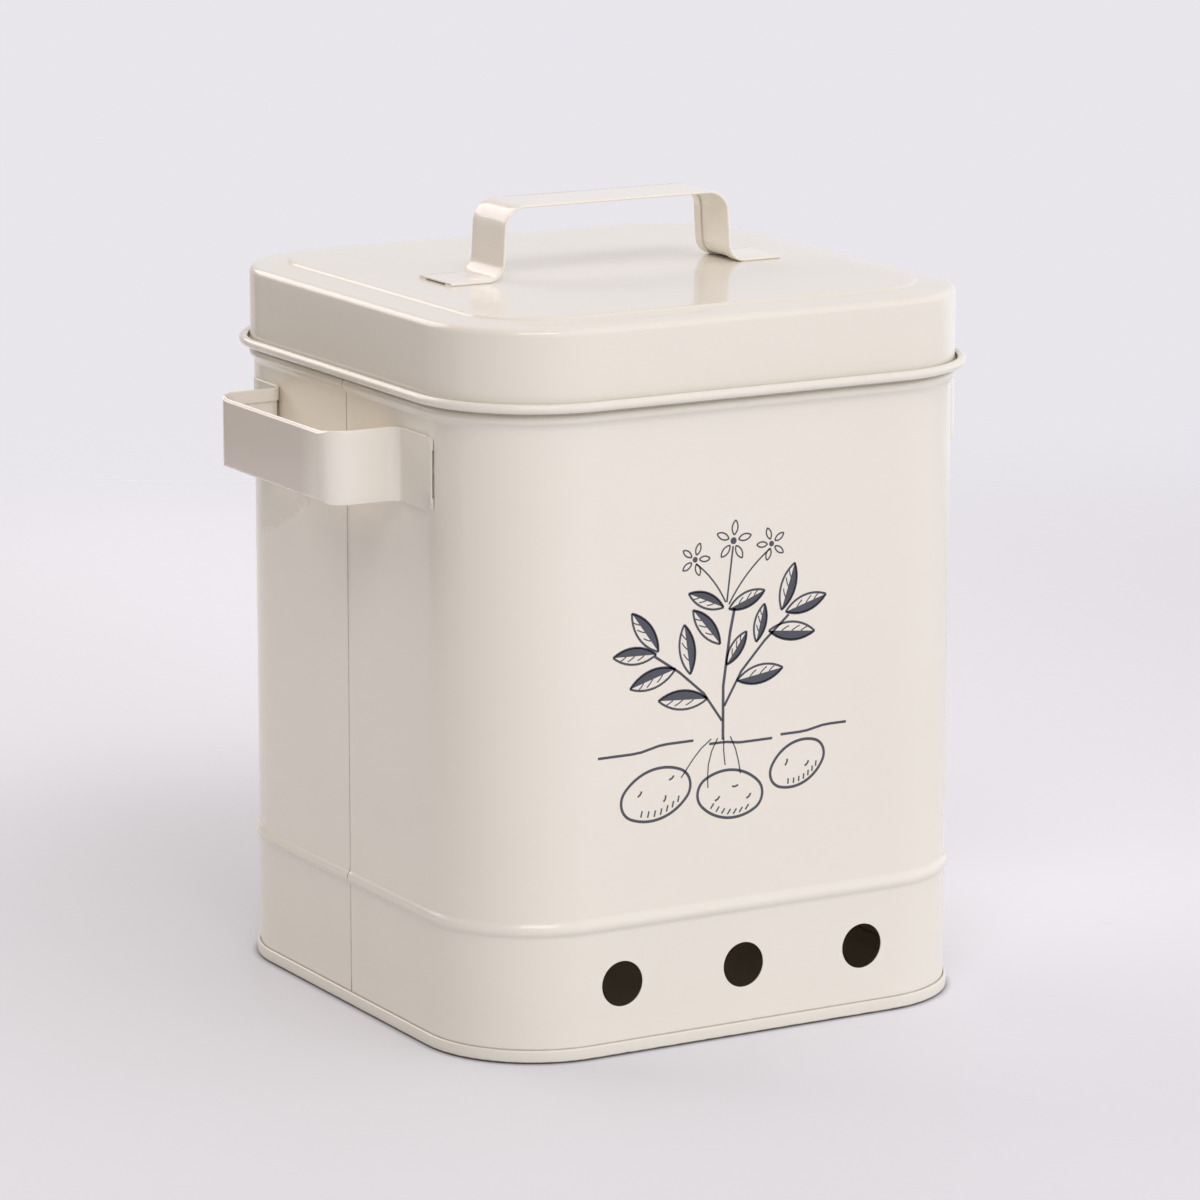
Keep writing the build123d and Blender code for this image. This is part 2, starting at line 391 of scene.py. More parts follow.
# %% The base's section, carried round and closed with a panel
FOOT_BEND = 0.7
FOOT_MIDDLE = FOOT_BEND + SHEET / 2
RIM_BEND = 2 * LAYER
PANEL_HEIGHT = 4.6
RIM_WIDTH = 12.0
STEP_BEND = 2.5
STEP_ANGLE = 45.0
SEAM_TOP = SEAM_HEIGHT - SHEET / 2 - LAYER
BASE_HOOK_END = HOOK_BOTTOM + 0.5
base_section = [
    run(SEAM_TOP - BASE_HOOK_END),
    bend(LAYER, -180, 8),
    run(SEAM_TOP - FOOT_MIDDLE),
    bend(FOOT_BEND, -90, 5),
    run(4 * LAYER - 2 * FOOT_BEND),
    bend(FOOT_BEND, -90, 5),
    run(PANEL_HEIGHT - RIM_BEND - FOOT_MIDDLE),
    bend(RIM_BEND, 90, 5),
    run(RIM_WIDTH - LAYER - SHEET / 2 - RIM_BEND),
    bend(STEP_BEND, -STEP_ANGLE, 4),
    bend(STEP_BEND, STEP_ANGLE, 4),
]
closed_route = [side, corner] * 4
PANEL_INSETS = (6, 8, 10)
LEVEL_SLACK = 0.01
PLAN_SLACK = 0.1


def close_panel(level, half):
    """Fills the loop of points that bounds a flat panel, and insets the new face in steps."""
    select_where(
        lambda p: p.z > level - LEVEL_SLACK and max(abs(p.x), abs(p.y)) < half + PLAN_SLACK
    )
    bpy.ops.mesh.edge_face_add()
    for width in PANEL_INSETS:
        bpy.ops.mesh.inset(thickness=width * MM, depth=0)


base = take_up("base")
draw_section(base_section, (-HALF - LAYER + SHEET / 2, -CORNER_MIDDLE, BASE_HOOK_END), UP, RIGHT)
draw_out(closed_route, (-HALF, -CORNER_MIDDLE, 0), BACK, LEFT)
close_up()
step_run = 2 * STEP_BEND * math.sin(math.radians(STEP_ANGLE))
step_rise = 2 * STEP_BEND * (1 - math.cos(math.radians(STEP_ANGLE)))
panel_half = HALF - RIM_WIDTH - step_run
close_panel(PANEL_HEIGHT + step_rise, panel_half)
close_up()
put_down(base)
give_gauge(base, SHEET)
smooth(base)
report(base)

# %% [markdown]
# ## The lid
#
# The lid is drawn from one sheet: a raised panel, a small step down to a flange, a soft edge, a
# skirt and an open curl that stiffens the lower edge. A Bevel modifier on a box would give even
# roundings, but not the step or the curl, so the lid is drawn as a section too. The curl turns out
# and up until it almost meets the skirt again, which leaves the dark slot that shows above it.

# %% The lid's section, carried round and closed with a panel
LID_STAND_OUT = 1.5
LID_PANEL = 302.0
LID_PANEL_HALF = 103.5
LID_STEP_BEND = 1.8
LID_STEP_ANGLE = 44.0
LID_FALL = 4.0
LID_EDGE = 3.0
CURL_STAND_OUT = 4.3
CURL_HEIGHT = 268.9
CURL_BEND = 1.75
CURL_ANGLE = 235.0


def flange_run(step_bend, steep, fall, edge_bend):
    """How far the flange runs from the step to the edge, and the height of the skirt's top."""
    step_out = step_bend * (2 * math.sin(steep) - math.sin(fall))
    step_drop = step_bend * (1 + math.cos(fall) - 2 * math.cos(steep))
    edge_out = edge_bend * (1 - math.sin(fall))
    out = HALF + LID_STAND_OUT - SHEET / 2 - LID_PANEL_HALF - step_out - edge_out
    drop = step_drop + out * math.tan(fall) + edge_bend * math.cos(fall)
    return out / math.cos(fall), LID_PANEL - SHEET / 2 - drop


flange, skirt_top = flange_run(
    LID_STEP_BEND, math.radians(LID_STEP_ANGLE), math.radians(LID_FALL), LID_EDGE - SHEET / 2
)
curl_start = CURL_STAND_OUT - LID_STAND_OUT + SHEET / 2
lid_section = [
    bend(LID_STEP_BEND, -LID_STEP_ANGLE, 5),
    bend(LID_STEP_BEND, LID_STEP_ANGLE - LID_FALL, 5),
    run(flange, 3),
    bend(LID_EDGE - SHEET / 2, LID_FALL - 90, 10),
    run(skirt_top - (CURL_HEIGHT + curl_start - CURL_BEND), 6),
    bend(curl_start, 90, 8),
    bend(CURL_BEND, CURL_ANGLE, 20),
]
lid = take_up("lid")
lid_start = (-LID_PANEL_HALF, -CORNER_MIDDLE, LID_PANEL - SHEET / 2)
draw_section(lid_section, lid_start, LEFT, UP)
draw_out(closed_route, (-HALF, -CORNER_MIDDLE, 0), BACK, LEFT)
close_up()
close_panel(LID_PANEL - SHEET / 2, LID_PANEL_HALF)
close_up()
put_down(lid)
give_gauge(lid, SHEET)
smooth(lid)
report(lid)

# %% [markdown]
# ## Hemmed strap
#
# The handles are strips whose long edges are folded flat onto the inner face. That hem is what
# gives a thin strap a soft, safe edge, and its end line shows inside the grip. The section is one
# sheet with both folds in it, drawn like the others and carried from the middle of the grip both
# ways.

# %% A strap from the middle of its grip
STRAP_SHEET = 0.55
HEM_GAP = 0.1
HEM_WIDTH = 5.5
STRAP_THICKNESS = 2 * STRAP_SHEET + HEM_GAP


def strap_section(width):
    """One sheet with both edges folded onto its inner face."""
    fold = STRAP_THICKNESS / 2
    turn = bend((STRAP_SHEET + HEM_GAP) / 2, -180, 8)
    return [run(HEM_WIDTH - fold), turn, run(width - 2 * fold, 6), turn, run(HEM_WIDTH - fold)]


def leg_plan(reach, half_length, grip_bend, foot_bend, splay, tail):
    """From the middle of the grip: along it, down a leg, and out along what carries the strap."""
    inner_grip_bend = grip_bend - STRAP_THICKNESS
    inner_foot_bend = foot_bend + STRAP_THICKNESS
    turn = math.radians(90 - splay)
    bends_drop = (inner_grip_bend + inner_foot_bend) * (1 - math.cos(turn))
    return [
        run(half_length - grip_bend, 6),
        bend(inner_grip_bend, splay - 90, 14),
        run((reach - STRAP_THICKNESS - bends_drop) / math.sin(turn), 3),
        bend(inner_foot_bend, 90 - splay, 14),
        *tail,
    ]


def trim_to(piece, low, high, across, radius):
    """Cuts a strap's ends to round corners, with a box whose edges along one axis are rounded."""
    low, high = Vector(low), Vector(high)
    bpy.ops.object.select_all(action="DESELECT")
    bpy.ops.mesh.primitive_cube_add(size=MM, location=(low + high) / 2 * MM, scale=high - low)
    cutter = bpy.context.object
    bpy.ops.object.transform_apply(location=True, rotation=True, scale=True)
    bpy.ops.object.mode_set(mode="EDIT")
    mesh = bmesh.from_edit_mesh(cutter.data)
    bpy.ops.mesh.select_all(action="DESELECT")
    for edge in mesh.edges:
        along = (edge.verts[0].co - edge.verts[1].co).normalized()
        edge.select = abs(along[across]) > 0.9
    mesh.select_flush_mode()
    bmesh.update_edit_mesh(cutter.data)
    bpy.ops.mesh.bevel(offset=radius * MM, segments=10, affect="EDGES")
    bpy.ops.object.mode_set(mode="OBJECT")
    apply_modifier(piece, "BOOLEAN", object=cutter, operation="INTERSECT", solver="EXACT")
    bpy.data.objects.remove(cutter)


print("strap is", STRAP_THICKNESS, "mm thick where it is hemmed")

# %% The side handle on the left
SIDE_WIDTH = 30.5
SIDE_HEIGHT = 238.2
SIDE_REACH = 32.0
SIDE_HALF = 52.5
SIDE_SHIFT = 4.0
SIDE_BENDS = (11.0, 5.0)
SIDE_TAB_ENDS = (-76.5, 84.5)
SIDE_TAB_RADIUS = 5.0
HAIR = 0.001
TRIM_MARGIN = 0.05

grip_inside = -HALF - SIDE_REACH + STRAP_THICKNESS
left_handle = take_up("side_handle_left_strap")
strap_start = (grip_inside - STRAP_SHEET / 2, SIDE_SHIFT, SIDE_HEIGHT + SIDE_WIDTH / 2 - HEM_WIDTH)
draw_section(strap_section(SIDE_WIDTH), strap_start, UP, RIGHT)
for way, tab_end in zip((1, -1), reversed(SIDE_TAB_ENDS)):
    select_where(lambda p: abs(p.y - SIDE_SHIFT) < HAIR)
    tab_start = SIDE_HALF + SIDE_BENDS[1] + way * SIDE_SHIFT
    wrap = math.degrees(2 * (abs(tab_end) - CORNER_MIDDLE) / CORNER)
    tail = [run(CORNER_MIDDLE - tab_start, 3), bend(CORNER, -wrap, 8)]
    draw_out(
        leg_plan(SIDE_REACH, SIDE_HALF, *SIDE_BENDS, 0, tail),
        (grip_inside, SIDE_SHIFT, SIDE_HEIGHT), BACK * way, LEFT,
    )
close_up(HAIR)
put_down(left_handle)
give_gauge(left_handle, STRAP_SHEET)
report(left_handle)
trim_to(
    left_handle,
    (-HALF - SIDE_REACH - 1, SIDE_TAB_ENDS[0], SIDE_HEIGHT - SIDE_WIDTH / 2 - TRIM_MARGIN),
    (-CORNER_MIDDLE, SIDE_TAB_ENDS[1], SIDE_HEIGHT + SIDE_WIDTH / 2 + TRIM_MARGIN),
    across=0, radius=SIDE_TAB_RADIUS,
)
smooth(left_handle)
report(left_handle)

# %% Its mirror image on the right
hold(left_handle)
bpy.ops.object.duplicate()
right_handle = bpy.context.object
right_handle.name = "side_handle_right_strap"
bpy.ops.transform.resize(value=(-1, 1, 1), center_override=(0, 0, 0))
bpy.ops.object.transform_apply(location=True, rotation=True, scale=True)
bpy.ops.object.mode_set(mode="EDIT")
bpy.ops.mesh.select_all(action="SELECT")
bpy.ops.mesh.normals_make_consistent(inside=False)
put_down(right_handle)
report(right_handle)

# %% The handle on the lid
TOP_WIDTH = 28.0
TOP_HEIGHT = 333.2
TOP_HALF = 54.0
TOP_SHIFT = 1.5
TOP_BENDS = (10.0, 7.0)
TOP_SPLAY = 3.0
FOOT_END = 79.0
FOOT_RADIUS = 7.0

top_handle = take_up("lid_handle_strap")
top_reach = TOP_HEIGHT - LID_PANEL
bar_inside = TOP_HEIGHT - STRAP_THICKNESS
strap_start = (TOP_SHIFT, TOP_WIDTH / 2 - HEM_WIDTH, bar_inside + STRAP_SHEET / 2)
draw_section(strap_section(TOP_WIDTH), strap_start, BACK, DOWN)
for way in (1, -1):
    select_where(lambda p: abs(p.x - TOP_SHIFT) < HAIR)
    tail = [run(FOOT_END - TOP_HALF, 6)]
    draw_out(
        leg_plan(top_reach, TOP_HALF, *TOP_BENDS, TOP_SPLAY, tail),
        (TOP_SHIFT, 0, bar_inside), RIGHT * way, UP,
    )
close_up(HAIR)
put_down(top_handle)
give_gauge(top_handle, STRAP_SHEET)
trim_to(
    top_handle,
    (TOP_SHIFT - FOOT_END, -TOP_WIDTH / 2 - TRIM_MARGIN, LID_PANEL - 1),
    (TOP_SHIFT + FOOT_END, TOP_WIDTH / 2 + TRIM_MARGIN, TOP_HEIGHT + 1),
    across=2, radius=FOOT_RADIUS,
)
smooth(top_handle)
report(top_handle)

# %% [markdown]
# ## The print
#
# Tins for the larder carry a one-colour print on the front. This one is a potato plant: leaves and
# flowers above a line of soil, potatoes below it. A print could be an image, but thin shapes a few
# hundredths of a millimetre proud stay crisp at any distance and need no picture file. A pen stroke
# is a short edge carried along a plan; a filled shape is an outline that is closed and filled.

# %% The pen
PRINT_FACE = -HALF - 0.03
PRINT_DEPTH = 0.04
PEN = 0.95
PLANT_MIDDLE = Vector((-9, PRINT_FACE, 153.5))


def heading(angle):
    """The direction at an angle on the front, counted from the right, and the one to its left."""
    turn = math.radians(angle)
    return Vector((math.cos(turn), 0, math.sin(turn))), Vector((-math.sin(turn), 0, math.cos(turn)))


def new_point():
    """Adds one selected point to the edited mesh, at the origin."""
    bpy.ops.mesh.select_all(action="DESELECT")
    bpy.ops.mesh.primitive_plane_add(size=MM)
    bpy.ops.mesh.merge(type="CENTER")


def stroke(place, angle, plan, pen=PEN):
    """Draws a line of the pen's width from a place on the print, heading off at an angle."""
    ahead, beside = heading(angle)
    start = PLANT_MIDDLE + Vector((place[0], 0, place[1]))
    new_point()
    bpy.ops.transform.translate(value=(start - beside * pen / 2) * MM)
    bpy.ops.mesh.extrude_region_move(TRANSFORM_OT_translate={"value": beside * pen * MM})
    bpy.ops.mesh.select_linked()
    return draw_out(plan, start, ahead, beside)


def patch(place, angle, plan):
    """Draws an outline with a single point, closes it and fills it."""
    ahead, beside = heading(angle)
    start = PLANT_MIDDLE + Vector((place[0], 0, place[1]))
    new_point()
    bpy.ops.transform.translate(value=start * MM)
    draw_out(plan, start, ahead, beside)
    bpy.ops.mesh.select_linked()
    bpy.ops.mesh.remove_doubles(threshold=0.02 * MM)
    bpy.ops.mesh.edge_face_add()


print("pen", PEN, "mm wide")


# %% Leaves, potatoes and flowers
def leaf(place, angle, length, fullness=38):
    """A leaf with an outline, one half filled and three veins in the open half."""
    radius = length / (2 * math.sin(math.radians(fullness)))
    for edge in (1, -1):
        stroke(place, angle + edge * fullness, [bend(radius, -2 * edge * fullness, 10)])
    patch(place, angle - fullness, [bend(radius, 2 * fullness, 10)])
    ahead, _ = heading(angle)
    for share in (0.28, 0.5, 0.7):
        vein = length * 0.3 * (1 - abs(share - 0.42))
        at = ahead * (length * share)
        stroke((place[0] + at.x, place[1] + at.z), angle + 42, [bend(vein * 2, -20, 3)], 0.5)


def potato(place, angle, length, width, eyes):
    """An oval of four arcs, with eyes, and a row of hatching along its belly."""
    small = width * 0.36
    large = ((length / 2 - small) ** 2 + (width / 2) ** 2 - small**2) / (width - 2 * small)
    spread = math.degrees(math.atan2(length / 2 - small, large - width / 2))
    ahead, beside = heading(angle)
    top = beside * (width / 2)
    stroke((place[0] + top.x, place[1] + top.z), angle, [
        bend(large, -spread, 8), bend(small, 2 * spread - 180, 10), bend(large, -2 * spread, 14),
        bend(small, 2 * spread - 180, 10), bend(large, -spread, 8),
    ], 1.2)
    for along, across, turned in eyes:
        at = ahead * (along * length) + beside * (across * width)
        stroke((place[0] + at.x, place[1] + at.z), angle + turned, [bend(2.4, 70, 5)], 0.8)
    for step in range(7):
        drop = width * (0.43 - 0.012 * (step - 3) ** 2)
        at = ahead * (length * (0.09 * step - 0.27)) - beside * drop
        stroke((place[0] + at.x, place[1] + at.z), angle + 62, [run(width * 0.13)], 0.7)


def flower(place, size, turn):
    """Five pointed petals round a dark eye. The turn lets the stalk in between two of them."""
    for turned in range(18 + turn, 378 + turn, 72):
        out, _ = heading(turned)
        at = (place[0] + out.x * size * 0.28, place[1] + out.z * size * 0.28)
        radius = size * 0.72 / (2 * math.sin(math.radians(48)))
        for edge in (1, -1):
            stroke(at, turned + edge * 48, [bend(radius, -2 * edge * 48, 6)], 0.65)
    patch((place[0], place[1] - size * 0.17), 0, [bend(size * 0.17, 350, 12)])


print("leaves, potatoes and flowers can be drawn")

# %% Draw the plant
plant_print = take_up("plant_print")
bpy.ops.mesh.delete(type="VERT")

potato((-33, -47), 14, 33, 21, [(-0.25, 0.1, 0), (0.08, -0.2, 20), (0.22, 0.18, -15)])
potato((2, -51), -8, 31, 20, [(-0.22, -0.15, 10), (0.02, 0.16, -20), (0.26, -0.08, 15)])
potato((34, -42), 24, 27, 18, [(-0.2, 0.12, 10), (0.1, -0.16, -10)])
for start, plan in (
    (-60, [run(16), bend(30, 16), bend(30, -16), run(12)]),
    (-8, [run(6), bend(24, -12), bend(24, 12), run(14)]),
    (26, [run(9), bend(30, 14), bend(30, -14), run(8)]),
):
    stroke((start, -29), 0, plan, 1.1)
for at, way, plan in (
    (-4, -125, [bend(26, 38), run(4)]), (-1, -95, [bend(40, 14), run(2)]),
    (2, -60, [bend(34, -20), run(5)]), (-7, -150, [bend(30, 22), run(9)]),
):
    stroke((at, -27), way, plan, 0.55)

stroke((-1.5, -28), 94, [bend(160, -16), run(10)], 1.3)
stroke((-2, -20), 118, [bend(62, 28), run(14)], 1.1)
stroke((-1, -14), 66, [bend(70, -26), run(15)], 1.1)
for place, angle, length in (
    ((-9, -10), 176, 23), ((-17, 1), 98, 21), ((-24, 4), 196, 22), ((-32, 12), 126, 21),
    ((-33, 11), 178, 20), ((5, -4), 8, 22), ((14, 11), 76, 16), ((20, 15), -6, 22),
    ((26, 23), 72, 20), ((28, 22), 16, 20), ((0, 3), 54, 16), ((-3, 12), 130, 20),
    ((1, 26), 20, 18), ((-1.5, 27), 156, 18),
):
    leaf(place, angle, length)
for place, size, turn in (((3, 54), 8.5, -7), ((-15, 48), 7.0, -19), ((21, 51), 7.0, 17)):
    flower(place, size, turn)
stroke((0, 29), 83, [run(23)], 0.8)
stroke((-0.6, 29), 115, [bend(46, 28, 8)], 0.7)
stroke((1, 28), 60, [bend(66, -25, 8)], 0.7)
put_down(plant_print)
apply_modifier(plant_print, "SOLIDIFY", thickness=PRINT_DEPTH * MM, offset=0.0)
hold(plant_print)
bpy.ops.object.mode_set(mode="EDIT")
bpy.ops.mesh.select_all(action="SELECT")
bpy.ops.mesh.normals_make_consistent(inside=False)
put_down(plant_print)
report(plant_print)

# %% [markdown]
# ## Enamel and ink
#
# The sheet wears a warm off-white enamel: glossy, with the faint orange-peel skin of a sprayed
# coat. One shader group holds that skin, so that every coat shares it and differs only in its
# colour, its mottling, its gloss and the depth of its peel. The patterns read Object coordinates,
# which are the tin's own, so they stay put when the lid is lifted.

# %% The shared skin of a sprayed coat
def new_group(name, inputs, outputs):
    """A shader group with float or colour sockets, and its two end nodes."""
    group = bpy.data.node_groups.new(name, "ShaderNodeTree")
    for socket, kind, value in inputs:
        made = group.interface.new_socket(name=socket, in_out="INPUT", socket_type=kind)
        made.default_value = value
    for socket, kind in outputs:
        group.interface.new_socket(name=socket, in_out="OUTPUT", socket_type=kind)
    return group, group.nodes.new("NodeGroupInput"), group.nodes.new("NodeGroupOutput")


def add_node(tree, kind, inputs=None, **settings):
    """Adds a node, sets it up, and joins or sets its inputs."""
    node = tree.nodes.new("ShaderNode" + kind)
    for name, value in settings.items():
        setattr(node, name, value)
    for socket, value in (inputs or {}).items():
        if isinstance(value, bpy.types.NodeSocket):
            tree.links.new(value, node.inputs[socket])
        else:
            node.inputs[socket].default_value = value
    return node


CLOUD_SCALE, PEEL_SCALE, SLACK_SCALE = 14.0, 420.0, 16.0
GLOSS_SWING = 0.08
PEEL_SHARE = 0.03
skin, skin_in, skin_out = new_group(
    "sprayed_skin",
    [("Base", "NodeSocketColor", (0.8, 0.8, 0.8, 1)), ("Mottle", "NodeSocketFloat", 0.02),
     ("Gloss", "NodeSocketFloat", 0.15)],
    [("Color", "NodeSocketColor"), ("Roughness", "NodeSocketFloat"), ("Height", "NodeSocketFloat")],
)
place_node = add_node(skin, "TexCoord")
here = place_node.outputs["Object"]
cloudy = add_node(skin, "TexNoise", {"Vector": here, "Scale": CLOUD_SCALE, "Detail": 3.0})
peel = add_node(skin, "TexNoise", {"Vector": here, "Scale": PEEL_SCALE, "Detail": 2.0})
slack = add_node(skin, "TexNoise", {"Vector": here, "Scale": SLACK_SCALE, "Detail": 1.0})
shift = add_node(skin, "Math", {0: cloudy.outputs["Fac"], 1: 0.5}, operation="SUBTRACT")
swing = add_node(
    skin, "Math", {0: shift.outputs[0], 1: skin_in.outputs["Mottle"]}, operation="MULTIPLY"
)
level = add_node(skin, "Math", {0: swing.outputs[0], 1: 1.0}, operation="ADD")
shade = add_node(
    skin, "VectorMath", {0: skin_in.outputs["Base"], "Scale": level.outputs[0]}, operation="SCALE"
)
rough = add_node(skin, "Math", {0: shift.outputs[0], 1: GLOSS_SWING}, operation="MULTIPLY")
gloss = add_node(skin, "Math", {0: rough.outputs[0], 1: skin_in.outputs["Gloss"]}, operation="ADD")
fine = add_node(skin, "Math", {0: peel.outputs["Fac"], 1: PEEL_SHARE}, operation="MULTIPLY")
height = add_node(
    skin, "Math", {0: slack.outputs["Fac"], 1: 1.0, 2: fine.outputs[0]}, operation="MULTIPLY_ADD"
)
skin.links.new(shade.outputs[0], skin_out.inputs["Color"])
skin.links.new(gloss.outputs[0], skin_out.inputs["Roughness"])
skin.links.new(height.outputs[0], skin_out.inputs["Height"])
print("skin group has", len(skin.nodes), "nodes")

# %% The coats of enamel and ink
CREAM = (0.82, 0.785, 0.69)
# Painted light: the wall's cream is a little paler than the lid's, to lift the wall's tone.
WALL_CREAM = (0.835, 0.80, 0.705)
# Painted light: the straps' cream is paler than the wall's, to lighten their shaded inner faces.
STRAP_CREAM = (0.87, 0.835, 0.745)
SLATE = (0.070, 0.075, 0.095)
# Each coat's mottling, its roughness and the depth of its peel in metres.
SPRAYED = (0.03, 0.14, 0.0006)
PRINTED = (0.1, 0.3, 0.0003)


def new_finish(name):
    """A node material with nothing but its output and a Principled BSDF."""
    material = bpy.data.materials.new(name)
    material.use_nodes = True
    return material, material.node_tree, material.node_tree.nodes["Principled BSDF"]


def coat(name, colour, mottle, gloss_value, bump_distance):
    """A finish that is the sprayed skin over one colour."""
    material, tree, shader = new_finish(name)
    layer = tree.nodes.new("ShaderNodeGroup")
    layer.node_tree = skin
    layer.inputs["Base"].default_value = (*colour, 1)
    layer.inputs["Mottle"].default_value = mottle
    layer.inputs["Gloss"].default_value = gloss_value
    bump = add_node(tree, "Bump", {"Height": layer.outputs["Height"], "Distance": bump_distance})
    tree.links.new(layer.outputs["Color"], shader.inputs["Base Color"])
    tree.links.new(layer.outputs["Roughness"], shader.inputs["Roughness"])
    tree.links.new(bump.outputs["Normal"], shader.inputs["Normal"])
    return material, tree, shader


enamel = coat("cream_enamel", CREAM, *SPRAYED)[0]
ink = coat("slate_ink", SLATE, *PRINTED)[0]
print("coats made:", enamel.name, "and", ink.name)

# %% [markdown]
# ## Lines where sheets meet, and painted light and shade
#
# A joint between two sheets reads as a fine dark line that is slightly ragged. The lines are masks
# over the enamel: one along the lap, one where the wall dives into the base seam, and one at the end
# of a strap's tab. A fourth line, at the foot of the rim, is a painted contact shadow where the tin
# meets the table. Each mask is the distance from the line, made uneven with noise.
#
# The same helpers paint light and shade into the coat in a few places. Between the legs of the left
# strap the wall is painted paler and yellower, a painted bounce of light between strap and wall, and
# below the strap a ragged, greyer patch is painted shadow. The straps' cream is paler than the
# wall's, painted light for their shaded inner faces, and the outside of their grips and tabs is
# painted darker as shade. These tints are chosen by measured tone. What causes them on a real tin,
# the coat or only the light on it, is not known.

# %% Masks
RAGGED_SCALE = 260.0


def place_in(tree):
    """The three coordinates of a shaded point, in the tin's own frame."""
    spot = add_node(tree, "SeparateXYZ", {0: add_node(tree, "TexCoord").outputs["Object"]})
    return [spot.outputs[name] for name in "XYZ"]


def far_from(tree, value, middle):
    """The distance of a value from a middle."""
    away = add_node(tree, "Math", {0: value, 1: middle * MM}, operation="SUBTRACT")
    return add_node(tree, "Math", {0: away.outputs[0]}, operation="ABSOLUTE").outputs[0]


def within(tree, distance, reach, soft, ragged=0.0):
    """A mask that is 1 within reach, in millimetres, and fades to 0 over a soft rim."""
    value = distance
    if ragged:
        here = add_node(tree, "TexCoord").outputs["Object"]
        noise = add_node(tree, "TexNoise", {"Vector": here, "Scale": RAGGED_SCALE})
        wave = add_node(
            tree, "Math", {0: noise.outputs["Fac"], 1: ragged * MM, 2: distance},
            operation="MULTIPLY_ADD",
        )
        value = wave.outputs[0]
    low = (reach + ragged / 2) * MM
    return add_node(
        tree, "MapRange",
        {
            "Value": value, "From Min": low, "From Max": low + soft * MM,
            "To Min": 1.0, "To Max": 0.0,
        },
    ).outputs[0]


def times(tree, first, second):
    """One mask inside another."""
    return add_node(tree, "Math", {0: first, 1: second}, operation="MULTIPLY").outputs[0]


def paint_over(tree, shader, mask, colour):
    """Lays a colour over what feeds the finish's colour, where the mask is 1."""
    below = shader.inputs["Base Color"].links[0].from_socket
    mixed = add_node(tree, "MixRGB", {"Fac": mask, "Color1": below, "Color2": (*colour, 1)})
    tree.links.new(mixed.outputs[0], shader.inputs["Base Color"])


print("masks can be measured in millimetres")

# %% The wall's own finish, with its painted light and shade
# Painted bounce light between the legs of the left strap, and painted shadow below that strap.
BOUNCE_LIGHT_TINT, BOUNCE_LIGHT_STRENGTH = (0.97, 0.90, 0.76), 0.85
UNDER_STRAP_SHADOW_TINT, UNDER_STRAP_SHADOW_STRENGTH = (0.58, 0.51, 0.44), 0.24
TORN_SCALE = 90.0
wall_enamel, tree, shader = coat("wall_enamel", WALL_CREAM, *SPRAYED)
across, along, upward = place_in(tree)
facing = add_node(tree, "SeparateXYZ", {0: add_node(tree, "TexCoord").outputs["Normal"]})
outward = add_node(
    tree, "MapRange", {"Value": facing.outputs["X"], "From Min": -0.3, "From Max": -0.7}
)
beside_left = times(tree, within(tree, far_from(tree, across, -HALF), 3.0, 0.5), outward.outputs[0])
# Painted bounce light: the wall is paler and yellower between the left strap's legs.
painted_bounce_zone = times(
    tree, within(tree, far_from(tree, along, 14), 44, 16),
    within(tree, far_from(tree, upward, SIDE_HEIGHT - 3), 21, 14),
)
paint_over(tree, shader, times(tree, times(tree, painted_bounce_zone, beside_left), BOUNCE_LIGHT_STRENGTH), BOUNCE_LIGHT_TINT)
# Painted shadow: a ragged, greyer patch on the wall below the left strap.
slant = add_node(tree, "Math", {0: along, 1: 0.5, 2: -224 * MM}, operation="MULTIPLY_ADD")
over_slant = add_node(tree, "Math", {0: upward, 1: slant.outputs[0]}, operation="ADD")
torn = add_node(
    tree, "TexNoise",
    {
        "Vector": add_node(tree, "TexCoord").outputs["Object"], "Scale": TORN_SCALE,
        "Detail": 6.0, "Roughness": 0.7,
    },
)
edge = add_node(
    tree, "Math", {0: torn.outputs["Fac"], 1: -26 * MM, 2: 14 * MM}, operation="MULTIPLY_ADD"
)
reach = add_node(tree, "Math", {0: over_slant.outputs[0], 1: edge.outputs[0]}, operation="ADD")
greyed = add_node(
    tree, "MapRange", {"Value": reach.outputs[0], "From Min": 0.0, "From Max": 3 * MM}
)
under_strap = within(tree, far_from(tree, upward, SIDE_HEIGHT - 34), 20, 4)
along_strap = within(tree, far_from(tree, along, 52), 22, 14)
tint = times(
    tree, times(tree, greyed.outputs[0], under_strap), times(tree, along_strap, beside_left)
)
paint_over(tree, shader, times(tree, tint, UNDER_STRAP_SHADOW_STRENGTH), UNDER_STRAP_SHADOW_TINT)
print("wall enamel has", len(tree.nodes), "nodes with its tints")

# %% The wall's dark lines
LAP_TINT, SEAM_TINT, TAB_TINT = (0.30, 0.26, 0.23), (0.55, 0.49, 0.43), (0.20, 0.17, 0.15)
on_left = within(tree, far_from(tree, across, -HALF), 4.0, 0.5)
lap_line = times(
    tree, within(tree, far_from(tree, along, LAP_MIDDLE + 0.1), 0.25, 0.4, 0.25), on_left
)
paint_over(tree, shader, lap_line, LAP_TINT)
seam_line = within(tree, far_from(tree, upward, SEAM_HEIGHT), 0.1, 0.4, 0.3)
paint_over(tree, shader, seam_line, SEAM_TINT)
tab_end = within(tree, far_from(tree, along, SIDE_TAB_ENDS[0] - 0.25), 0.18, 0.25, 0.4)
beside_tab = within(tree, far_from(tree, upward, SIDE_HEIGHT), SIDE_WIDTH / 2 - 3.0, 3.0)
tab_line = times(tree, times(tree, tab_end, beside_tab), beside_left)
paint_over(tree, shader, tab_line, TAB_TINT)
print("wall enamel has", len(tree.nodes), "nodes with its lines")

